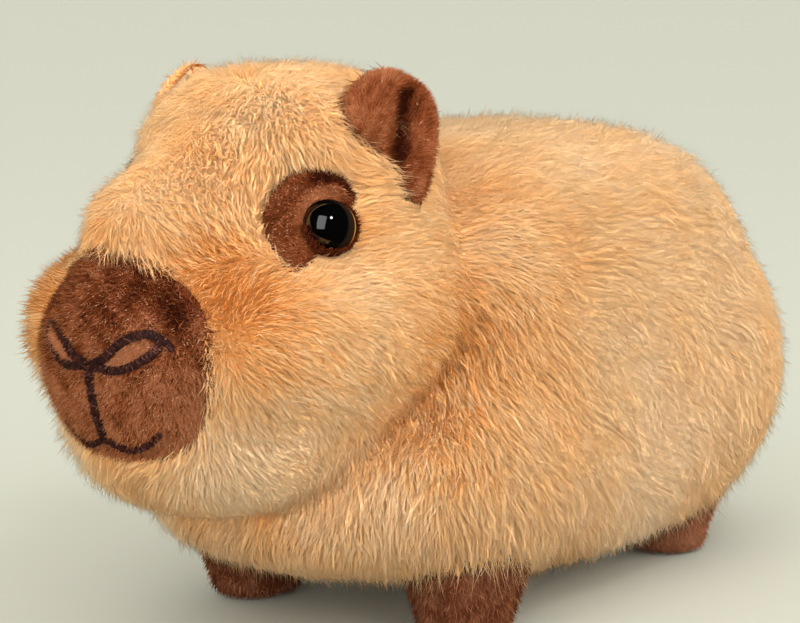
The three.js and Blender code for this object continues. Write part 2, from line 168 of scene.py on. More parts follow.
# Round places: centre, radius and amount. In the first the fur stands up instead of lying flat
STANDING = (
    ((24, -108, 100), 14, 0.5), ((30, -115, 88), 10, 0.3), ((49, -42, 80), 16, 0.4),
    ((47, -56, 58), 13, 0.35), ((49, -28, 24), 14, 0.15), ((16, -94, 123), 9, 0.12),
    ((18, -66, 136), 11, 0.1),
)

# Deeper orange, or paler, than the rest. Most are the toy's markings; the paler places on the jaw and lower
# body are painted light that lifts their shade
MARKINGS_AND_FILL_LIGHT = (
    ((25, -107, 100), 13, -0.48), ((31, -113, 86), 12, -0.2), ((47, -44, 82), 17, -0.4),
    ((45, -58, 60), 13, -0.33), ((56, -5, 95), 10, -0.15), ((42, -56, 100), 18, 0.12),
    ((26, -104, 54), 16, 0.45), ((54, 30, 34), 24, 0.3), ((30, -85, 50), 22, 0.15),
    ((10, -70, 142), 24, 0.08), ((0, 40, 127), 50, 0.15), ((40, -70, 36), 18, -0.1),
    ((60, 60, 70), 55, 0.18), ((30, -60, 40), 25, 0.18),
)

# Strands of different tones lie side by side
MOTTLED = (
    ((25, -107, 98), 16, 0.22), ((48, -44, 80), 18, 0.12), ((46, -56, 58), 16, 0.16),
    ((38, -95, 70), 20, 0.08),
)

# Longer hair hangs as a fringe
FRINGE = (
    ((45, -28, 27), 15, 1.0), ((40, -42, 26), 12, 0.55), ((16, -94, 123), 9, 0.2),
    ((18, -66, 136), 11, 0.2), ((46, 77, 24), 14, 0.5), ((46, 20, 12), 22, 0.2), ((46, 60, 16), 18, 0.2),
)

# Painted shadow in a pocket of the muzzle beside the cheek, under the gold fur
MUZZLE_POCKET_SHADE = (
    ((21, -118, 93), 5.5, -0.6), ((22, -120, 84), 5, -0.25), ((17, -119, 98), 5, -0.2),
)


def unit(vectors):
    return vectors / np.maximum(np.linalg.norm(vectors, axis=-1, keepdims=True), 1e-9)


def square_to(axes, vectors):
    """Unit vectors along the given ones but square to axes."""
    return unit(vectors - axes * (vectors * axes).sum(1, keepdims=True))


def turned(vectors, axes, angles):
    """Vectors square to axes, turned about them."""
    return vectors * np.cos(angles)[:, None] + np.cross(axes, vectors) * np.sin(angles)[:, None]


def folded(points):
    """The right side laid over the left."""
    return np.concatenate((np.abs(points[:, :1]), points[:, 1:]), 1)


def mirrored(points, sign):
    return points * np.array((sign, 1, 1))


def ease(value, low, high):
    t = np.clip((value - low) / (high - low), 0, 1)
    return t * t * (3 - 2 * t)


# Shapes
def lobe_value(points, lobe, side):
    centre, half, power = lobe
    middle = side * centre[0], centre[1], centre[2]
    scaled = np.abs((points - middle) / half) ** power
    return (scaled.sum(-1) ** (1 / power) - 1) * min(half)


def blended(lobes):
    """A shape whose lobes run together, those off the middle on both sides."""
    halves = [(lobe, side) for lobe in lobes for side in ((1, -1) if lobe[0][0] else (1,))]
    return lambda points: -BLEND * np.log(sum(np.exp(-lobe_value(points, *half) / BLEND) for half in halves))


head_shape = blended(HEAD_LOBES)
body_shape = blended(BODY_LOBES)


def creased_body(points):
    """The body, drawn in where it meets the head."""
    return body_shape(points) + CREASE * np.exp(-(head_shape(points) / 7) ** 2)


def crossing(shape, inner, direction, reach):
    near = np.zeros(len(direction))
    far = np.full(len(direction), float(reach))
    for _ in range(24):
        middle = (near + far) / 2
        inside = shape(inner + direction * middle[:, None]) < 0
        near = np.where(inside, middle, near)
        far = np.where(inside, far, middle)
    return inner + direction * near[:, None]


def normal_at(shape, points):
    slopes = [shape(points + shift) - shape(points - shift) for shift in 0.5 * np.eye(3)]
    return unit(np.stack(slopes, -1))


def plane_point(plane, across, up, into):
    across, up, into = np.broadcast_arrays(across, up, into)
    points = across[..., None] * plane[0] + into[..., None] * plane[1]
    points[..., 2] += up
    return points


def face_point(plane, across, up, rise):
    """Places drawn on a plane and laid on the head."""
    inner = plane_point(plane, across, up, HEAD_CORE @ plane[1])
    points = crossing(head_shape, inner, np.broadcast_to(-plane[1], inner.shape), 120)
    return points + normal_at(head_shape, points) * np.broadcast_to(rise, across.shape)[:, None]


def side_spot(spot, rise):
    return face_point(SIDE, *np.array(spot)[:, None], rise)[0]


EYE_CENTRE = side_spot(EYE_SPOT, -EYE_SINK)
EYE_OUT = unit(side_spot(EYE_SPOT, 0) - EYE_CENTRE)
EYE_PATCH_CENTRE = side_spot(EYE_PATCH_MIDDLE, 0)


# Outlines
def smooth_line(points, count, closed):
    points = np.array(points, float)
    if closed:
        points = np.concatenate((points[-1:], points, points[:2]))
    else:
        points = np.concatenate((2 * points[:1] - points[1:2], points, 2 * points[-1:] - points[-2:-1]))
    spans = len(points) - 3
    t = np.linspace(0, spans, count, endpoint=not closed)
    i = np.minimum(t.astype(int), spans - 1)
    s = (t - i)[:, None]
    a, b, c, d = (points[i + k] for k in range(4))
    bend = (2 * a - 5 * b + 4 * c - d) * s ** 2
    return 0.5 * (2 * b + (c - a) * s + bend + (3 * b - a - 3 * c + d) * s ** 3)


def outline_radius(outline):
    """Radius of a smooth closed outline in each direction."""
    samples = smooth_line(outline, 40 * len(outline), True)
    angles = np.arctan2(samples[:, 1], samples[:, 0])
    order = np.argsort(angles)
    radii = np.hypot(samples[:, 0], samples[:, 1])[order]
    return lambda angle: np.interp(angle, angles[order], radii, period=math.tau)


def muzzle_radius(angle):
    across = np.abs(np.cos(angle) / MUZZLE_HALF[0]) ** MUZZLE_POWER
    return (across + np.abs(np.sin(angle) / MUZZLE_HALF[1]) ** MUZZLE_POWER) ** (-1 / MUZZLE_POWER)


eye_patch_radius = outline_radius(EYE_PATCH_OUTLINE)
ear_radius = outline_radius(EAR_OUTLINE)


def share_out(radius, middle, across, up):
    """How far out places lie, with 1 at the outline."""
    across, up = across - middle[0], up - middle[1]
    return np.hypot(across, up) / radius(np.arctan2(up, across))


def muzzle_share(points):
    share = share_out(muzzle_radius, MUZZLE_MIDDLE, points[:, 0], points[:, 2])
    return np.where(points[:, 1] < MUZZLE_REAR, share, FAR_OUT)


def side_plane(points):
    points = folded(points)
    return points @ SIDE[0], points[:, 2], points @ SIDE[1]


def eye_patch_share(points):
    across, up, into = side_plane(points)
    share = share_out(eye_patch_radius, EYE_PATCH_MIDDLE, across, up)
    return np.where(into < HEAD_CORE @ SIDE[1], share, FAR_OUT)


def ear_place(points):
    """Place across and up an ear, share out to its rim, depth."""
    across, up, into = side_plane(points)
    x, z = across - EAR["across"], up - EAR["up"]
    return x, z, share_out(ear_radius, (0, 0), x, z), into


def eye_distance(points):
    """Distance from the line that the eye looks along."""
    away = folded(points) - EYE_CENTRE
    return np.linalg.norm(away - (away @ EYE_OUT)[:, None] * EYE_OUT, axis=1)


# Objects and meshes
def add_object(name, data):
    obj = bpy.data.objects.new(name, data)
    scene.collection.objects.link(obj)
    return obj


def make_object(name, points, faces):
    mesh = bpy.data.meshes.new(name)
    mesh.from_pydata((points * MM).tolist(), [], faces)
    mesh.shade_smooth()
    return add_object(name, mesh)


def piece(obj, slot, material, *nodes):
    """Makes an object part of the toy that may stand for CAD nodes."""
    obj.data.materials.append(material)
    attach(obj, "root")
    if nodes:
        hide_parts(*nodes)


def put(items, key, values, kind=np.float32):
    items.foreach_set(key, np.asarray(values, kind).reshape(-1))


def fetched(items, key, kind=np.float32):
    values = np.empty(len(items) * 3, kind)
    items.foreach_get(key, values)
    return values.reshape(-1, 3)


def add_values(mesh, name, values):
    put(mesh.attributes.new(name, "FLOAT", "POINT").data, "value", values)


def mesh_arrays(mesh):
    """Points in millimetres, vertex normals and triangles."""
    mesh.calc_loop_triangles()
    points = (fetched(mesh.vertices, "co") / MM).astype(float)
    normals = fetched(mesh.vertex_normals, "vector").astype(float)
    return points, normals, fetched(mesh.loop_triangles, "vertices", np.int32)


def stuffed(obj, plush, tone_of, palest, fill, *nodes):
    """Makes an object a piece of plush, with its markings and its painted light and shade."""
    add_values(obj.data, "tone", np.clip(tone_of(mesh_arrays(obj.data)[0]), 0, palest))
    piece(obj, plush.slot, plush.skin, *nodes)
    return obj


def turns(count):
    return np.arange(count) / count * math.tau


def ring_faces(rows, spokes, closed=False):
    row = np.arange(rows if closed else rows - 1)[:, None]
    spoke = np.arange(spokes)
    after, turn = (row + 1) % rows, (spoke + 1) % spokes
    corners = (row * spokes + spoke, row * spokes + turn, after * spokes + turn, after * spokes + spoke)
    return np.stack(corners, -1).reshape(-1, 4).tolist()


def lathe(name, profile, middle, stretch, spokes):
    """Round closed body from radii and heights that start and end on its axis."""
    radius, height = np.array(profile).T[..., None]
    angle = turns(spokes)
    across, along = radius * np.cos(angle), radius * stretch * np.sin(angle)
    rings = np.stack(np.broadcast_arrays(across, along, height), -1)
    points = np.concatenate((rings[1:-1].reshape(-1, 3), rings[0, :1], rings[-1, :1]))
    rows = len(profile) - 2
    faces = ring_faces(rows, spokes)
    last = (rows - 1) * spokes
    for spoke in range(spokes):
        after = (spoke + 1) % spokes
        faces.append((rows * spokes, after, spoke))
        faces.append((rows * spokes + 1, last + spoke, last + after))
    return make_object(name, points + middle, faces)


def disc_mesh(name, rings, spokes, surface, sign):
    """Closed disc from its front and back surfaces, by share out and angle."""
    share = np.append(0, np.repeat(np.arange(1, rings + 1) / rings, spokes))
    angle = np.append(0, np.tile(turns(spokes), rings))
    points = np.concatenate((surface(share, angle, True), surface(share, angle, False)))
    size = len(share)
    faces = []
    for spoke in range(spokes):
        here = [0] + [1 + ring * spokes + spoke for ring in range(rings)]
        after = [0] + [1 + ring * spokes + (spoke + 1) % spokes for ring in range(rings)]
        faces.append((0, here[1], after[1]))
        faces.append((size, size + after[1], size + here[1]))
        for ring in range(1, rings):
            quad = (here[ring], here[ring + 1], after[ring + 1], after[ring])
            faces.append(quad)
            faces.append(tuple(size + corner for corner in quad[::-1]))
        faces.append((here[-1], size + here[-1], size + after[-1], after[-1]))
    return make_object(name, mirrored(points, sign), [face[::sign] for face in faces])


# Materials
def new_material(name):
    material = bpy.data.materials.new(name)
    material.use_nodes = True
    return material, material.node_tree, material.node_tree.nodes["Principled BSDF"]


def set_inputs(node, settings):
    for key, value in settings.items():
        if isinstance(value, bpy.types.NodeSocket):
            node.id_data.links.new(value, node.inputs[key])
        else:
            node.inputs[key].default_value = value
    return node


def add_node(tree, kind, settings={}):
    return set_inputs(tree.nodes.new("ShaderNode" + kind), settings)


def ramp(tree, source, stops):
    node = add_node(tree, "ValToRGB", {"Fac": source})
    elements = node.color_ramp.elements
    while len(elements) < len(stops):
        elements.new(0.5)
    for element, (position, colour) in zip(elements, stops):
        element.position = position
        element.color = (*colour, 1)
    return node.outputs["Color"]


def value_ramp(tree, name, stops):
    node = add_node(tree, "Attribute")
    node.attribute_name = name
    return ramp(tree, node.outputs["Fac"], stops)


def product(tree, one, other):
    mix = add_node(tree, "Mix")
    mix.data_type = "RGBA"
    mix.blend_type = "MULTIPLY"
    set_inputs(mix, {"Factor": 1.0, 6: one, 7: other})
    return mix.outputs[2]


def linear(red, green, blue):
    """Scene colour of an sRGB colour in 0 to 255."""
    values = np.array((red, green, blue)) / 255
    return tuple(np.where(values <= 0.04045, values / 12.92, ((values + 0.055) / 1.055) ** 2.4))


def fur_material(name, colours, root_shade, glow):
    """Fur, deeper at the roots in colour and in painted shade, with light that passes from hair to hair."""
    material, tree, shader = new_material(name)
    half_way = tuple((1 + part) / 2 for part in root_shade)
    shade = value_ramp(tree, "along", ((0, root_shade), (0.4, half_way), (0.85, (1, 1, 1))))
    shader.subsurface_method = "BURLEY"
    set_inputs(shader, {
        "Base Color": product(tree, value_ramp(tree, "tone", colours), shade),
        "Roughness": 0.7, "Specular IOR Level": 0.08,
        "Subsurface Weight": 1.0, "Subsurface Radius": (1.0, 0.8, 0.6), "Subsurface Scale": glow,
    })
    return material


def skin_material(name, colours, darker, grain_scale, bump):
    """Backing of the pile, in the fur's markings, with a fine nap."""
    material, tree, shader = new_material(name)
    place = add_node(tree, "TexCoord").outputs["Object"]
    grain = add_node(tree, "TexNoise", {"Scale": grain_scale, "Detail": 3, "Vector": place}).outputs["Fac"]
    bumps = add_node(tree, "Bump", {"Strength": bump, "Distance": 0.0006, "Height": grain})
    grey = ramp(tree, grain, ((0.3, (darker * 0.7,) * 3), (0.7, (darker,) * 3)))
    set_inputs(shader, {
        "Base Color": product(tree, value_ramp(tree, "tone", colours), grey),
        "Roughness": 0.95, "Specular IOR Level": 0.05, "Normal": bumps.outputs["Normal"],
    })
    return material


def make_plush(name, colours, root_shade, glow, darker, grain_scale, bump):
    fur = fur_material(name + "_fur", colours, root_shade, glow)
    skin = skin_material(name + "_skin", colours, darker, grain_scale, bump)
    return SimpleNamespace(slot=name + "_plush", fur=fur, skin=skin)


# Roots deeper in colour and in painted shade
BROWN_ROOT_SHADE = (0.62, 0.5, 0.45)
gold = make_plush("gold", (
    (0.0, linear(192, 115, 54)), (0.35, linear(240, 168, 98)),
    (0.62, linear(252, 201, 144)), (1.0, linear(254, 220, 178)),
), (0.95, 0.8, 0.62), 0.0018, 1.0, 900, 0.4)
brown = make_plush("brown", (
    (0.0, linear(52, 20, 9)), (0.5, linear(134, 70, 37)),
    (0.93, linear(186, 122, 84)), (1.0, linear(240, 194, 156)),
), BROWN_ROOT_SHADE, 0.0004, 0.8, 1400, 0.8)
foot_brown = make_plush("foot", (
    (0.0, linear(44, 20, 11)), (0.5, linear(106, 56, 34)), (1.0, linear(176, 118, 86)),
), BROWN_ROOT_SHADE, 0.0004, 0.75, 1400, 0.8)


def make_satin():
    material, tree, shader = new_material("satin_thread")
    # The palest stop is a painted highlight for the stitches' knots
    stops = ((0, linear(30, 11, 9)), (0.5, linear(58, 25, 20)), (1, linear(132, 80, 70)))
    colour = value_ramp(tree, "tone", stops)
    set_inputs(shader, {"Base Color": colour, "Roughness": 0.6, "Specular IOR Level": 0.2})
    return SimpleNamespace(slot="thread", fur=material)


def eye_material(name, gloss):
    """Black plastic with a thin orange ring near its edge."""
    material, tree, shader = new_material(name)
    black, edge, orange = (0.001, 0.001, 0.001), (0.02, 0.01, 0.006), (0.6, 0.26, 0.05)
    stops = (
        (0.0, black), (0.59, black), (0.64, (0.012, 0.007, 0.005)),
        (0.84, edge), (0.86, orange), (0.9, orange), (0.93, edge),
    )
    set_inputs(shader, {
        "Base Color": value_ramp(tree, "off_axis", stops),
        "Roughness": 0.06, "Specular IOR Level": 0.0,
        "Coat Weight": gloss, "Coat Roughness": 0.02, "Coat IOR": 1.75,
    })
    return material


# Fields over the toy
def scatter(obj, count, weight):
    """Random places on a mesh, spread by area and by a weight."""
    points, normals, triangles = mesh_arrays(obj.data)
    corners = points[triangles]
    area = np.linalg.norm(np.cross(corners[:, 1] - corners[:, 0], corners[:, 2] - corners[:, 0]), axis=1)
    steps = np.cumsum(area * weight(corners.mean(1), unit(normals[triangles].mean(1))))
    picks = np.searchsorted(steps, (np.arange(count) + rng.random(count)) / count * steps[-1] * 0.999999)
    a, b = rng.random((2, count))
    flip = a + b > 1
    a, b = np.where(flip, 1 - a, a), np.where(flip, 1 - b, b)
    share = np.stack((1 - a - b, a, b), -1)[..., None]
    chosen = triangles[picks]
    return (points[chosen] * share).sum(1), unit((normals[chosen] * share).sum(1))


def waves(points, length, seed):
    """Smooth noise from -1 to 1 with bumps of about a length."""
    count = 7
    maker = np.random.default_rng(seed)
    directions = unit(maker.normal(size=(count, 3)))
    phases = maker.random(count) * math.tau
    pitch = math.tau / (length * (0.7 + 0.8 * maker.random(count)))
    return np.sin((points @ directions.T) * pitch + phases).sum(1) / math.sqrt(count) / 1.2


def spots(points, places):
    """Sum of soft round places, the same on both sides."""
    near = folded(points)
    total = np.zeros(len(points))
    for centre, radius, amount in places:
        total += amount * np.exp(-((near - centre) ** 2).sum(1) / radius ** 2)
    return total


def lie_at(points, normals):
    """Direction of the fur along the skin, softly parted at the middle."""
    near = folded(points)
    total = np.zeros_like(points)
    for place, direction in LIE:
        distance = ((near - place) ** 2).sum(1) + LIE_REACH ** 2
        total += unit(np.array(direction, float)) * (1e4 / distance ** 2)[:, None]
    total[:, 0] *= np.tanh(points[:, 0] / PARTING)
    return square_to(normals, total)


def tone_at(points):
    """Marking of skin and coat, with painted fill light on the jaw and lower body: 0 is deep orange and 1 is
    pale gold.
    """
    tone = 0.62 + spots(points, MARKINGS_AND_FILL_LIGHT) + 0.08 * waves(points, 26, 3) + 0.05 * waves(points, 9, 4)
    return np.clip(tone, 0, 1)


def before_patch(points):
    """1 beside the front and top edges of an eye patch, 0 elsewhere."""
    near = 1 - ease(eye_patch_share(points), 1.0, 1.25)
    across, up, _ = side_plane(points)
    ahead = ease(EYE_SPOT[0] + 3 - across, 0, 4)
    return near * np.maximum(ahead, ease(up - EYE_SPOT[1], 6, 9))


def combed(roots, normals):
    """Lie of the fur, with some hair fallen over the muzzle's edge."""
    outer = roots + normals * HEAD_PILE
    lie = turned(lie_at(roots, normals), normals, 0.3 * waves(roots, 22, 5))
    beside = (1 - ease(muzzle_share(outer), 1.0, 1.2)) * rng.random(len(roots))
    beside *= 1 - 0.9 * ease(roots[:, 2], 90, 100) * (1 - ease(np.abs(roots[:, 0]), 8, 14))
    inward = (0, 0, MUZZLE_MIDDLE[1]) - roots
    inward[:, 1] = 0
    outward = folded(roots) - EYE_PATCH_CENTRE
    outward[:, 0] *= np.sign(roots[:, 0])
    lie = lie + unit(inward) * (1.3 * beside)[:, None] + unit(outward) * (0.5 * before_patch(outer))[:, None]
    return square_to(normals, lie)


# Tufts
def unwrap(points, core):
    """Octahedral map about a core, stretched to fill the square."""
    d = points - core
    d = d / np.abs(d).sum(1, keepdims=True)
    underside = (1 - np.abs(d[:, [1, 0]])) * np.where(d[:, :2] < 0, -1, 1)
    flat = np.where(d[:, 2:] < 0, underside, d[:, :2])
    low, high = flat.min(0), flat.max(0)
    return 0.005 + (0.99 - UV_PATCH) * (flat - low) / np.maximum(high - low, 1e-6)


def tuft_mesh(name, rings, tips, along, tone, roots, facing, core, plush):
    """Closed tapered tufts from rings and a tip, lit as the skin under them faces."""
    count, ring_count = rings.shape[:2]
    size = 3 * ring_count + 1
    top = size - 4
    points = np.concatenate((rings.reshape(count, -1, 3), tips[:, None]), 1)
    polygons = [(0, 2, 1)] + ring_faces(ring_count, 3)
    polygons += [(top + k, top + (k + 1) % 3, size - 1) for k in range(3)]
    corners = np.array([corner for polygon in polygons for corner in polygon])
    starts = np.cumsum([0] + [len(polygon) for polygon in polygons])[:-1]
    tuft = np.arange(count)[:, None]
    loops = (corners + tuft * size).reshape(-1)
    mesh = bpy.data.meshes.new(name)
    mesh.vertices.add(count * size)
    put(mesh.vertices, "co", points * MM)
    mesh.loops.add(len(loops))
    put(mesh.loops, "vertex_index", loops, np.int32)
    mesh.polygons.add(count * len(polygons))
    put(mesh.polygons, "loop_start", starts + tuft * len(corners), np.int32)
    mesh.update(calc_edges=True)
    mesh.shade_smooth()
    steps = np.append(np.repeat(along, 3), 1.0)
    around = np.append(np.tile((0, 0.5, 1), ring_count), 0.5)
    uv = unwrap(roots, core)[:, None] + UV_PATCH * np.stack((around, steps), -1)
    put(mesh.uv_layers.new(name="OFBake").data, "uv", uv.reshape(-1, 2)[loops])
    add_values(mesh, "along", np.tile(steps, count))
    add_values(mesh, "tone", np.repeat(tone, size))
    heading = unit(tips - rings.mean((1, 2)))
    lit = unit(facing + 0.25 * square_to(heading, facing) + rng.normal(0, 0.07, facing.shape))
    shading = mesh.attributes.new("custom_normal", "FLOAT_VECTOR", "POINT")
    put(shading.data, "vector", np.repeat(lit, size, axis=0))
    piece(add_object(name, mesh), plush.slot, plush.fur)


def ring_of(centres, heading, normals, width):
    side = unit(np.cross(heading, normals) + 1e-6)
    other = np.cross(heading, side)
    angle = math.pi / 2 + turns(3)[:, None]
    ring = side[:, None] * np.cos(angle) + 0.75 * other[:, None] * np.sin(angle)
    return centres[:, None] + ring * width[:, None, None] / 2


def raised(lie, normals, angles):
    return normals * np.sin(angles)[:, None] + lie * np.cos(angles)[:, None]


def clump_offsets(roots, spacing):
    """Way from the middle of its lock to each root, and the lock."""
    pick = rng.permutation(len(roots))[:max(1, len(roots) // spacing)]
    tree = kdtree.KDTree(len(pick))
    for number, index in enumerate(pick):
        tree.insert(roots[index], number)
    tree.balance()
    lock = np.array([tree.find(root)[1] for root in roots])
    return roots - roots[pick][lock], lock


def keep_clear(points, over_eye=0.0):
    """Holds points off the floor and the eyes, but for the eye's edge."""
    points = points.copy()
    points[:, 2] = np.maximum(points[:, 2], 0.3)
    for sign in SIDES.values():
        centre, outward = mirrored(EYE_CENTRE, sign), mirrored(EYE_OUT, sign)
        height = ((points - centre) @ outward)[:, None]
        beside = points - centre - height * outward
        away = unit(beside)
        clear = EYE_RADIUS + 0.2 - np.maximum(over_eye, 1.3 * ease(-away[:, 2:], 0.3, 0.8))
        hidden = (np.linalg.norm(beside, axis=1, keepdims=True) < clear) & (height > 0) & (height < 12)
        points = np.where(hidden, centre + height * outward + away * clear, points)
    return points


def grow_long(name, roots, normals, length, width, stand, tone, core):
    """Bent tufts, drawn together into locks."""
    count = len(roots)
    offset, lock = clump_offsets(roots, 9)
    lock_turn = rng.normal(0, 0.12, lock.max() + 1)[lock]
    lock_size = rng.normal(1, 0.08, lock.max() + 1)[lock]
    lie = turned(combed(roots, normals), normals, lock_turn + rng.normal(0, 0.12, count))
    reach = length * lock_size * rng.uniform(0.75, 1.15, count)
    rise = np.clip(stand + rng.normal(0, 0.08, count), 0, 1)
    last = np.radians(3 + 62 * rise + rng.normal(0, 4, count))
    side = np.cross(normals, lie)
    drift = rng.normal(0, 0.05, count) * reach
    start = raised(lie, normals, np.radians(40 + 38 * rise))
    middle = roots + start * (reach * BEND)[:, None] + side * drift[:, None]
    tip = middle + raised(lie, normals, last) * (reach * (1 - BEND))[:, None] - side * (2 * drift)[:, None]
    pinch = np.clip(rng.normal(0.2, 0.12, count), 0, 0.6)[:, None]
    root = roots - normals * 0.4
    middle, tip = keep_clear(middle - 0.3 * pinch * offset), keep_clear(tip - pinch * offset)
    first = ring_of(root, unit(middle - root), normals, width)
    second = ring_of(middle, unit(tip - root), normals, width * 0.85)
    tuft_mesh(name, np.stack((first, second), 1), tip, (0, BEND), tone, roots, normals, core, gold)


def grow_short(name, roots, normals, lie, length, lift, width, tone, core, plush, spread, over_eye=0.0):
    """Straight short tufts that lean every way about their lie."""
    count = len(roots)
    angle = lift + rng.normal(0, 0.2, count)
    sideways = turned(lie, normals, rng.normal(0, spread, count))
    heading = raised(sideways, normals, angle)
    tip = keep_clear(roots + heading * (length * rng.uniform(0.6, 1.2, count))[:, None], over_eye)
    base = ring_of(roots - normals * 0.25, heading, normals + 0.3 * sideways, width)
    tuft_mesh(name, base[:, None], tip, (0,), tone, roots, normals, core, plush)


# Skin under the gold coat
def head_depth(points):
    """The skin lies deeper under the pads and their borders."""
    near = np.minimum(muzzle_share(points), eye_patch_share(points))
    near = np.minimum(near, eye_distance(points) / EYE_RADIUS)
    return HEAD_PILE + (PAD_PILE - HEAD_PILE) * (1 - ease(near, 1.05, 1.4))


def star_mesh(shape, core):
    mesh = bmesh.new()
    bmesh.ops.create_icosphere(mesh, subdivisions=6, radius=1)
    directions = unit(np.array([vertex.co[:] for vertex in mesh.verts]))
    faces = [[vertex.index for vertex in face.verts] for face in mesh.faces]
    mesh.free()
    return crossing(shape, core, directions, 150), faces


def make_skin():
    head, head_faces = star_mesh(head_shape, HEAD_CORE)
    body, body_faces = star_mesh(creased_body, BODY_CORE)
    faces = head_faces + [[index + len(head) for index in face] for face in body_faces]
    head = head - head_depth(head)[:, None] * normal_at(head_shape, head)
    body = body - BODY_PILE * normal_at(creased_body, body)
    obj = make_object("plush_skin", np.concatenate((head, body)), faces)
    remesh = obj.modifiers.new("join", "REMESH")
    remesh.voxel_size = 1.8 * MM
    smooth = obj.modifiers.new("smooth", "SMOOTH")
    smooth.iterations = 8
    bpy.context.view_layer.update()
    mesh = bpy.data.meshes.new_from_object(obj.evaluated_get(bpy.context.evaluated_depsgraph_get()))
    obj.modifiers.clear()
    obj.data = mesh
    mesh.shade_smooth()
    return stuffed(obj, gold, tone_at, 1, 0.9, "torso", "head")


# Gold coat
def in_ear(points):
    x, z, share, into = ear_place(points)
    forward = EAR["into"] + EAR["sweep"] * x + EAR["lean"] * z - into
    return (share < 0.85) & (forward > -5) & (forward < 6)


def in_foot(points):
    inside = np.zeros(len(points), bool)
    for foot in FEET.values():
        x = np.abs(points[:, 0]) - FOOT["across"]
        y = (points[:, 1] - foot["along"]) * FOOT["half_width"] / foot["half_length"]
        inside |= np.hypot(x, y) < FOOT["half_width"] * FOOT["flare"] - 2
    return inside & (points[:, 2] < 20)


def coat_weight(centres, normals):
    """Thicker where it is seen close to, thinner underneath."""
    under = ease(-normals[:, 2], 0.75, 0.95) * (centres[:, 1] > -70)
    face = ease(-centres[:, 1], 40, 70)
    crown = spots(centres, (((8, -74, 140), 20, 0.5),))
    return (1 + 0.25 * face + crown) * (1 - 0.55 * under)


def bare(roots, normals):
    """Places that the gold coat leaves to the patches, ears and feet."""
    outer = roots + normals * HEAD_PILE
    below_eye = ease(EYE_SPOT[1] - outer[:, 2], 2, 6)
    in_patch = eye_patch_share(outer) < 0.9 - 0.05 * below_eye
    at_top = ease(outer[:, 2], 88, 98) * (1 - ease(np.abs(outer[:, 0]), 6, 12))
    in_muzzle = muzzle_share(outer) < 0.91 + 0.07 * at_top
    return in_muzzle | in_patch | (eye_distance(outer) < EYE_RADIUS) | in_ear(roots) | in_foot(roots)


def coat_values(roots, normals):
    """Length, width, stand and tone of tufts, and which are the head's."""
    outer = roots + normals * HEAD_PILE
    is_head = head_shape(roots) < body_shape(roots)
    snout = ease(-roots[:, 1], 85, 112) * is_head
    near_patch = 1 - ease(muzzle_share(outer), 1, 1.3)
    beside = near_patch * (1 - ease(outer[:, 2], 98, 106))
    stand = np.clip(spots(roots, STANDING) + 0.3 * near_patch + 0.5 * beside, 0, 1)
    length = np.where(is_head, LONG_TUFT["head"], LONG_TUFT["body"]) * (1 + 0.25 * beside)
    length = length * (1 - 0.25 * stand) * (1 + spots(roots, FRINGE)) * (1 - 0.15 * before_patch(outer))
    width = LONG_TUFT["width"] * (1 - 0.15 * snout) * rng.uniform(0.8, 1.2, len(roots))
    mottle = 0.05 + spots(roots, MOTTLED)
    tone = np.clip(tone_at(roots) + mottle * rng.normal(0, 1, len(roots)), 0, 1)
    return length, width, stand, tone, is_head


def sown(count):
    roots, normals = scatter(skin, count, coat_weight)
    grows = ~bare(roots, normals)
    roots, normals = roots[grows], normals[grows]
    return roots, normals, *coat_values(roots, normals)


def regions_of(roots, is_head):
    for side, sign in SIDES.items():
        own = (roots[:, 0] >= 0) == (sign > 0)
        for name, on_head, start, end in REGIONS:
            within = (roots[:, 1] >= start) & (roots[:, 1] < end)
            core = HEAD_CORE if on_head else BODY_CORE
            yield f"{name}_{side}", own & within & (is_head == on_head), core


def grow_gold():
    *values, is_head = sown(TUFTS["coat"])
    for name, chosen, core in regions_of(values[0], is_head):
        grow_long("coat_" + name, *(value[chosen] for value in values), core)
    *values, is_head = sown(TUFTS["underfur"])
    lie = combed(values[0], values[1])
    for name, chosen, core in regions_of(values[0], is_head):
        roots, normals, length, width, stand, tone = (value[chosen] for value in values)
        grow_short("underfur_" + name, roots, normals, lie[chosen], 0.85 * length, 0.55 + 0.5 * stand,
                   width * 1.15, tone - 0.04, core, gold, 0.25)


skin = make_skin()
grow_gold()


# Lines of the embroidery, drawn from the front
def drawn_threads():
    """Name, points, whether closed and half width of each thread."""
    for side, sign in SIDES.items():
        node = "nostril_" + side
        yield node, smooth_line(NOSTRIL_OUTLINE, 150, True) * (sign, 1), True, THREAD_HALF["nostril"]
        yield node + "_tail", smooth_line(NOSTRIL_TAIL, 30, False) * (sign, 1), False, THREAD_HALF["tail"]
    down = np.stack((np.zeros(60), np.linspace(*PHILTRUM, 60)), -1)
    yield "philtrum", down, False, THREAD_HALF["philtrum"]
    mouth_points = [(-x, z) for x, z in MOUTH_HALF[:0:-1]] + list(MOUTH_HALF)
    yield "mouth", smooth_line(mouth_points, 120, False), False, THREAD_HALF["mouth"]


def off_thread(points):
    drawn = np.concatenate([line for _, line, _, _ in drawn_threads()])
    tree = kdtree.KDTree(len(drawn))
    for across, up in drawn:
        tree.insert((across, up, 0), 0)
    tree.balance()
    gaps = np.array([tree.find((across, up, 0))[2] for across, _, up in points])
    clear = np.where(points[:, 0] < -8, 0.1, THREAD_CLEAR)
    return (gaps > clear) | (points[:, 1] > MUZZLE_REAR)


# Short-pile pads of the muzzle and round the eyes
def drawn_from(middle, reach, angle):
    return middle[0] + reach * np.cos(angle), middle[1] + reach * np.sin(angle)


def muzzle_top(share, angle):
    across, up = drawn_from(MUZZLE_MIDDLE, share * muzzle_radius(angle), angle)
    return across, up, -MUZZLE_SUNK * share ** 3 - SHORT_PILE


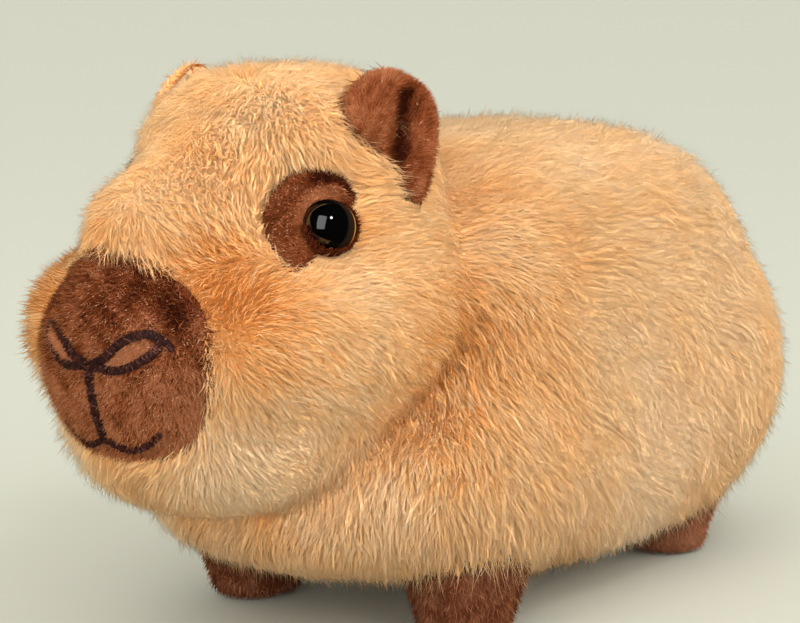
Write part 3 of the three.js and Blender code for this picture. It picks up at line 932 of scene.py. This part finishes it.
def eye_patch_top(share, angle):
    reach = share * (eye_patch_radius(angle) - EYE_PATCH_HIDDEN)
    across, up = drawn_from(EYE_PATCH_MIDDLE, reach, angle)
    over_eye = ease(np.sin(angle + math.radians(20)), 0.3, 0.8)
    fold = LID["rise"] * over_eye * np.exp(-((share - LID["at"]) / LID["width"]) ** 2)
    return across, up, -EYE_PATCH_SUNK * share ** 3 + fold - SHORT_PILE * 0.8


def muzzle_tone(points):
    """Painted shadow in a pocket by the cheek and painted sheen on the sides; lighter on the lip and
    nostrils.
    """
    loop = np.array(NOSTRIL_OUTLINE)
    middle = loop.mean(0)
    x, z = np.abs(points[:, 0]), points[:, 2]
    nostril = 1 - ease(share_out(outline_radius(loop - middle), middle, x, z), 0.5, 0.8)
    tone = 0.47 + 0.14 * waves(points, 9, 21) + 0.12 * waves(points, 4, 23)
    # painted shadow in the pocket by the cheek
    tone += spots(points, MUZZLE_POCKET_SHADE)
    tone += 0.8 * nostril + 0.25 * ease(84 - z, 0, 8)
    tone -= 0.1 * ease(z - 90, 0, 8)
    # painted sheen on the muzzle's sides
    tone += 0.2 * ease(x, 12, 20)
    tone += 0.5 * ease(muzzle_share(points), 0.75, 0.95) * ease(72 - z, 0, 8)
    return tone


def eye_patch_tone(points):
    """Painted shade as a dark band over the lid, painted light on the fold under it, and darker next to the
    eye below it.
    """
    across, up, _ = side_plane(points)
    dx, dz = across - EYE_SPOT[0], up - EYE_SPOT[1]
    gap, angle = np.hypot(dx, dz) - EYE_RADIUS, np.arctan2(dz, dx)
    over = ease(angle, -0.5, -0.1) * (1 - ease(angle, 1.5, 2.3))
    start = 2.2 * ease(angle, 0.8, 1.7)
    fold = (1 - ease(gap, 1.8, 3.4)) * ease(angle, 0.9, 1.5)
    # over is the painted shade of the band over the lid; fold is the painted light on the lid fold under it
    tone = 0.43 + 0.12 * waves(points, 6, 24) - 0.8 * over * ease(gap, start, start + 1) + 0.16 * fold
    return tone - 0.3 * (1 - ease(gap, 0, 1.0)) * (angle < -1)


def make_pad(part, end, sign, plane, top, rings, core, length_of, tone_of, share_of):
    """A pad whose short pile leans every way, outwards at its edge."""
    def surface(share, angle, is_front):
        across, up, rise = top(share, angle)
        return face_point(plane, across, up, rise if is_front else -PAD_PILE - 1.5)

    obj = disc_mesh(part + "_plush" + end, rings, 4 * rings, surface, sign)
    node = "muzzle_patch" if part == "muzzle" else part + end
    stuffed(obj, brown, tone_of, 0.9, 0.8, node)
    outward = unit(core - HEAD_CORE)
    roots, normals = scatter(obj, TUFTS[part], lambda centres, facing: (facing @ outward > 0.1))
    open_pile = off_thread(roots)
    roots, normals = roots[open_pile], normals[open_pile]
    edge = ease(share_of(roots), 0.8, 1.0)
    from_middle = unit(roots - core) * (1.4 * edge)[:, None]
    lie = square_to(normals, (0, 0, -0.6) + from_middle + rng.normal(0, 0.5, roots.shape))
    tone = np.clip(tone_of(roots) + rng.normal(0, 0.24, len(roots)), 0, 0.92)
    spark = rng.random(len(roots)) < 0.045 * ease(tone_of(roots), 0, 0.3)
    width = rng.uniform(*FINE, len(roots))
    reach = length_of(roots) * np.where(spark, 0.55, 1)
    grow_short(part + "_coat" + end, roots, normals, lie, reach, 0.85 - 0.3 * edge, width,
               np.where(spark, 1.0, tone), core - 30 * outward, brown, 0.7)


def muzzle_pile(points):
    """Longer on the muzzle's sides and at its edge."""
    longer = 0.9 * ease(np.abs(points[:, 0]), 8, 20) + 0.6 * ease(muzzle_share(points), 0.8, 1)
    return 2.1 + longer + ease(points[:, 2] - 96, 0, 6)


def eye_pile(points):
    """Short next to the eye and at the edge of its patch."""
    inside = 1 - 0.3 * ease(eye_patch_share(points), 0.8, 1)
    return (0.5 + 1.4 * ease(eye_distance(points) - EYE_RADIUS, 0.5, 3.5)) * inside


make_pad("muzzle", "", 1, FRONT, muzzle_top, 24, MUZZLE_TIP, muzzle_pile, muzzle_tone, muzzle_share)
for side, sign in SIDES.items():
    make_pad("eye_patch", "_" + side, sign, SIDE, eye_patch_top, 18, mirrored(EYE_CENTRE, sign),
             eye_pile, eye_patch_tone, eye_patch_share)


# Ears
def fold_line(z):
    return EAR_FOLD["x"] + EAR_FOLD["slope"] * z


def ear_front(share, x, z):
    """Thickness of an ear's front, with a lobe ahead of a deep fold."""
    fold_x = fold_line(z)
    width = np.where(x < fold_x, EAR_FOLD["front"], EAR_FOLD["rear"])
    along = ease(z, -13, -3) * (1 - ease(z, 7, 12))
    fold = EAR_FOLD["depth"] * along * np.exp(-((x - fold_x) / width) ** 2)
    lobe = 2.2 * (1 - ease(x, fold_x - 3, fold_x + 1))
    return 0.6 + np.sqrt(np.maximum(0, 1 - share ** 4)) * (3 + lobe - fold)


def ear_surface(share, angle, is_front):
    x, z = drawn_from((0, 0), share * (ear_radius(angle) - 0.8), angle)
    back = 0.6 + 4 * np.sqrt(np.maximum(0, 1 - share ** 4))
    forward = ear_front(share, x, z) - EAR_PILE if is_front else EAR_PILE - back
    into = EAR["into"] + EAR["sweep"] * x + EAR["lean"] * z - forward
    return plane_point(SIDE, EAR["across"] + x, EAR["up"] + z, into)


def ear_tone(points):
    """Painted light on the lobe and rim, and painted shade that is nearly black in the fold."""
    x, z, share, _ = ear_place(points)
    fold_x = fold_line(z)
    along = ease(z, -12, -4) * (1 - ease(z, 8, 12))
    # painted shade, nearly black, along the fold's valley
    fold = along * np.exp(-((x - fold_x - 0.2) / np.where(x < fold_x + 0.2, 1.2, 3.0)) ** 2)
    # painted light on the front lobe
    lobe = 0.62 - 0.14 * ease(x, fold_x - 1, fold_x + 3)
    blotches = 0.1 * waves(points, 7, 31) + 0.12 * waves(points, 3, 32)
    # painted light towards the rim; the blotches are the plush's own tone
    return lobe + 0.12 * ease(share, 0.75, 1) + blotches - 0.75 * fold


def make_ear(side, sign):
    """Brown with a gold back; on the right gold also covers its front lobe."""
    opening = mirrored(unit(EAR["sweep"] * SIDE[0] - SIDE[1] + (0, 0, EAR["lean"])), sign)
    core = mirrored(plane_point(SIDE, EAR["across"], EAR["up"], EAR["into"]), sign)

    def golden(points, normals):
        front_lobe = ear_place(points)[0] < EAR_FOLD["x"] + 2
        return normals @ opening < (np.where(front_lobe, 2.0, 0.5) if sign < 0 else -0.3)

    obj = disc_mesh("ear_plush_" + side, 22, 80, ear_surface, sign)
    stuffed(obj, brown, ear_tone, 0.9, 0.5, "ear_" + side)
    obj.data.materials.append(gold.skin)
    for polygon in obj.data.polygons:
        polygon.material_index = int(golden(np.array([polygon.center]) / MM, np.array([polygon.normal]))[0])
    roots, normals = scatter(obj, TUFTS["ear"], lambda centres, facing: ~golden(centres, facing))
    count = len(roots)
    lie = (0, 0.1, 0.8) + unit(roots - core) + rng.normal(0, 0.4, roots.shape)
    tone = np.clip(ear_tone(roots) + rng.normal(0, 0.13, count), 0, 0.92)
    tone = np.where(rng.random(count) < 0.003, 1.0, tone)
    grow_short("ear_coat_" + side, roots, normals, square_to(normals, lie), 1.8, 0.8,
               rng.uniform(*FINE, count), tone, core, brown, 0.6)
    roots, normals = scatter(obj, TUFTS["ear_back"], golden)
    count = len(roots)
    tone = np.clip(0.5 + rng.normal(0, 0.1, count), 0, 1)
    over_rim = (0, 0, -0.7) - opening + rng.normal(0, 0.2, roots.shape)
    grow_short("ear_back_" + side, roots, normals, square_to(normals, over_rim), 3.4, 0.3,
               rng.uniform(*COARSE, count), tone, core, gold, 0.3)


for side, sign in SIDES.items():
    make_ear(side, sign)


# Feet
def arc(out, up, radius, start):
    """Radii and heights along a quarter of a circle."""
    angles = np.radians(np.linspace(start, start + 90, 7))
    return [(out + radius * math.cos(angle), up + radius * math.sin(angle)) for angle in angles]


def make_foot(end, foot, side, sign):
    """A foot that flares up into the coat."""
    half, flare = FOOT["half_width"] - 0.8, FOOT["half_width"] * FOOT["flare"] - 0.8
    edge, shoulder, top = FOOT["edge"], FOOT["shoulder"], FOOT["top"]
    sides = [(half + (flare - half) * k / 8, 5 + (top - shoulder - 5) * k / 8) for k in range(1, 8)]
    profile = [(0, 0.5), *arc(half - edge, edge + 0.5, edge, -90), *sides,
               *arc(flare - shoulder, top - shoulder, shoulder, 0), (0, top)]
    middle = np.array((sign * FOOT["across"], foot["along"], 0))
    name = f"{end}_{side}"
    obj = lathe("foot_plush_" + name, profile, middle, foot["half_length"] / FOOT["half_width"], 48)
    shade = foot["tone"]
    stuffed(obj, foot_brown, lambda points: shade + 0.12 * waves(points, 8, 41), 1, 0.9, "foot_" + name)
    roots, normals = scatter(obj, TUFTS["foot"],
                             lambda centres, facing: (facing[:, 2] > -0.85) & (centres[:, 2] < 21))
    lie = square_to(normals, (0, 0, -1.0))
    tone = shade + 0.15 * waves(roots, 6, 42) + rng.normal(0, 0.15, len(roots))
    grow_short("foot_coat_" + name, roots, normals, lie, 2.4, 0.55, rng.uniform(*COARSE, len(roots)),
               np.clip(tone, 0, 1), middle + (0, 0, 12.0), foot_brown, 0.6)


for end, foot in FEET.items():
    for side, sign in SIDES.items():
        make_foot(end, foot, side, sign)


# Eyes
def make_eye(side, sign):
    """Dome with a weaker gloss at its edge, where the fur shades it."""
    centre = mirrored(EYE_CENTRE, sign)
    turns = np.linspace(0, math.pi, 41)
    profile = np.stack((np.sin(turns), -np.cos(turns)), -1) * EYE_RADIUS
    obj = lathe("eye_dome_" + side, profile, centre, 1, 64)
    looks = unit(mirrored((0.26, -0.925, 0.28), sign))
    off_axis = np.degrees(np.arccos(np.clip(unit(mesh_arrays(obj.data)[0] - centre) @ looks, -1, 1)))
    add_values(obj.data, "off_axis", off_axis / 110)
    piece(obj, "eye_black", eye_material("eye_" + side, 1.0), "eye_" + side)
    obj.data.materials.append(eye_material("eye_edge_" + side, 0.04))
    for polygon in obj.data.polygons:
        polygon.material_index = int(off_axis[list(polygon.vertices)].mean() > EYE_EDGE)


def grow_rim(side, sign):
    """Dark pile round the eye, but for its lower back."""
    count = TUFTS["rim"]
    angle = np.radians(rng.uniform(180, 415, count))
    tilt = np.radians(rng.uniform(66, 96, count))
    across = unit(np.cross((0, 0, 1.0), EYE_OUT))
    up = np.cross(EYE_OUT, across)
    beside = np.cos(angle)[:, None] * across + np.sin(angle)[:, None] * up
    normals = np.sin(tilt)[:, None] * beside + np.cos(tilt)[:, None] * EYE_OUT
    roots = EYE_CENTRE + normals * (EYE_RADIUS + 0.3)
    lie = unit(EYE_OUT - 0.15 * beside + 0.35 * rng.normal(0, 1, roots.shape))
    facing = unit(EYE_OUT + 0.5 * beside)
    lie = square_to(facing, lie)
    tone = np.clip(rng.normal(0.08, 0.1, count), 0, 0.9)
    roots, facing, lie, core = (mirrored(value, sign) for value in (roots, facing, lie, EYE_CENTRE))
    grow_short("eye_rim_" + side, roots, facing, lie, 1.9, 1.1, rng.uniform(0.25, 0.4, count), tone, core,
               brown, 0.3, 0.9)


for side, sign in SIDES.items():
    make_eye(side, sign)
for side, sign in SIDES.items():
    grow_rim(side, sign)


# Embroidery
def on_muzzle(drawn, rise):
    """Drawn points laid on the muzzle, deeper on the toy's right."""
    across, up = drawn.T
    sunk = MUZZLE_SUNK * share_out(muzzle_radius, MUZZLE_MIDDLE, across, up) ** 3
    return face_point(FRONT, across, up, rise - sunk - 0.5 * ease(-across, 6, 11))


def lay_thread(name, drawn, closed, half_width):
    """Band ridged by its stitches. A nostril's tail has no node."""
    line = on_muzzle(drawn, -THREAD_SUNK)
    before = np.roll(line, 1, 0) if closed else np.concatenate((line[:1], line[:-1]))
    after = np.roll(line, -1, 0) if closed else np.concatenate((line[1:], line[-1:]))
    tangent = unit(after - before)
    side = unit(np.cross(tangent, normal_at(head_shape, line)))
    upright = np.cross(side, tangent)
    travelled = np.cumsum(np.linalg.norm(line - before, axis=1))
    ridge = 1 + 0.07 * np.sin(travelled * math.tau / 0.6)
    sides, count = 10, len(line)
    angle = turns(sides)[:, None]
    ring = side[:, None] * half_width * np.cos(angle) + upright[:, None] * 0.65 * np.sin(angle)
    points = (line[:, None] + ring * ridge[:, None, None]).reshape(-1, 3)
    faces = [face[::-1] for face in ring_faces(count, sides, closed)]
    if not closed:
        faces += [range(sides), range(count * sides - 1, (count - 1) * sides - 1, -1)]
    obj = make_object(name + "_thread", points, faces)
    add_values(obj.data, "tone", np.clip(0.2 + 0.2 * waves(points, 1.5, 51), 0, 1))
    piece(obj, satin.slot, satin.fur, *([] if name.endswith("_tail") else [name]))


def stitch(name, drawn, closed, half_width):
    """Loose stitches across a band, each a thin tuft, the paler ones painted highlights on the knots."""
    line = on_muzzle(drawn, 0.55 - THREAD_SUNK)
    after = np.roll(line, -1, 0) if closed else np.concatenate((line[1:], 2 * line[-1:] - line[-2:-1]))
    count = len(line) * 5
    pick = rng.integers(0, len(line), count)
    centre = line[pick] + (after - line)[pick] * rng.random((count, 1))
    normals = normal_at(head_shape, centre)
    side = np.cross(unit((after - line)[pick]), normals) * rng.choice((-1, 1), count)[:, None]
    side = turned(side, normals, rng.normal(0, 0.45, count))
    roots = centre - side * half_width * rng.uniform(0.4, 1.0, (count, 1)) + normals * 0.1
    length = half_width * rng.uniform(1.3, 2.1, count)
    heading = unit(side + normals * rng.uniform(0.0, 0.5, (count, 1)))
    base = ring_of(roots, heading, normals, rng.uniform(0.35, 0.55, count))
    # pale stitches are painted highlights
    tone = np.clip(rng.normal(0.25, 0.3, count), 0, 1)
    tips = roots + heading * length[:, None]
    tuft_mesh(name + "_stitches", base[:, None], tips, (0,), tone, roots, normals, HEAD_CORE, satin)


satin = make_satin()
for thread in drawn_threads():
    lay_thread(*thread)
    stitch(*thread)


# Floor, light and camera
def make_floor():
    angle = turns(96)
    points = np.stack((np.cos(angle), np.sin(angle), np.zeros(96)), -1) * FLOOR_RADIUS
    floor = make_object("floor", points, [range(96)])
    material, _, shader = new_material("studio_floor")
    colour = (*linear(190, 193, 182), 1)
    set_inputs(shader, {"Base Color": colour, "Roughness": 0.8, "Specular IOR Level": 0.2})
    floor.data.materials.append(material)
    floor.visible_glossy = False


def aim(obj, position, target):
    obj.location = Vector(position) * MM
    direction = (Vector(target) - Vector(position)).normalized()
    obj.rotation_euler = direction.to_track_quat("-Z", "Y").to_euler()


def around_camera(left, above, distance):
    """Place seen from the eye, left of and above the camera."""
    right = unit(np.cross(LOOK, (0, 0, 1.0)))
    up = np.cross(right, LOOK)
    left, above = math.radians(left), math.radians(above)
    direction = math.cos(above) * (-math.cos(left) * LOOK - math.sin(left) * right) + math.sin(above) * up
    return EYE_CENTRE + direction * distance


def add_lamp(name, kind, position, target, power, colour, **settings):
    data = bpy.data.lights.new(name, kind)
    data.energy = power
    data.color = colour
    for key, value in settings.items():
        setattr(data, key, value)
    obj = add_object(name, data)
    obj.visible_glossy = kind == "AREA"
    aim(obj, position, target)


def make_studio():
    make_floor()
    add_lamp("key", "AREA", around_camera(26, 20, 900), (0, -30, 70), 3.0, (1, 0.98, 0.95),
             shape="RECTANGLE", size=560 * MM, size_y=900 * MM)
    add_lamp("spark", "AREA", around_camera(-19, 39, 1100), (30, -80, 100), 2.0, (1, 1, 1), size=150 * MM)
    middle = (0, 0, 0)
    add_lamp("top", "SUN", (60, -100, 1000), middle, 0.35, (1, 0.97, 0.92), angle=math.radians(60))
    add_lamp("front", "SUN", (550, -1000, 0), middle, 2.1, (1, 0.98, 0.96), angle=math.radians(90))
    add_lamp("flank", "SUN", (1000, 150, 0), middle, 2.85, (1, 0.98, 0.96), angle=math.radians(90))
    world = bpy.data.worlds.new("studio")
    world.use_nodes = True
    set_inputs(world.node_tree.nodes["Background"], {"Color": (*linear(226, 223, 214), 1), "Strength": 1.34})
    world.cycles_visibility.glossy = False
    scene.world = world
    scene.view_settings.view_transform = "Standard"


def make_camera():
    data = bpy.data.cameras.new("camera")
    data.lens = LENS
    scene.camera = add_object("camera", data)
    aim(scene.camera, EYE_POINT, EYE_POINT + LOOK * 100)


make_camera()
make_studio()
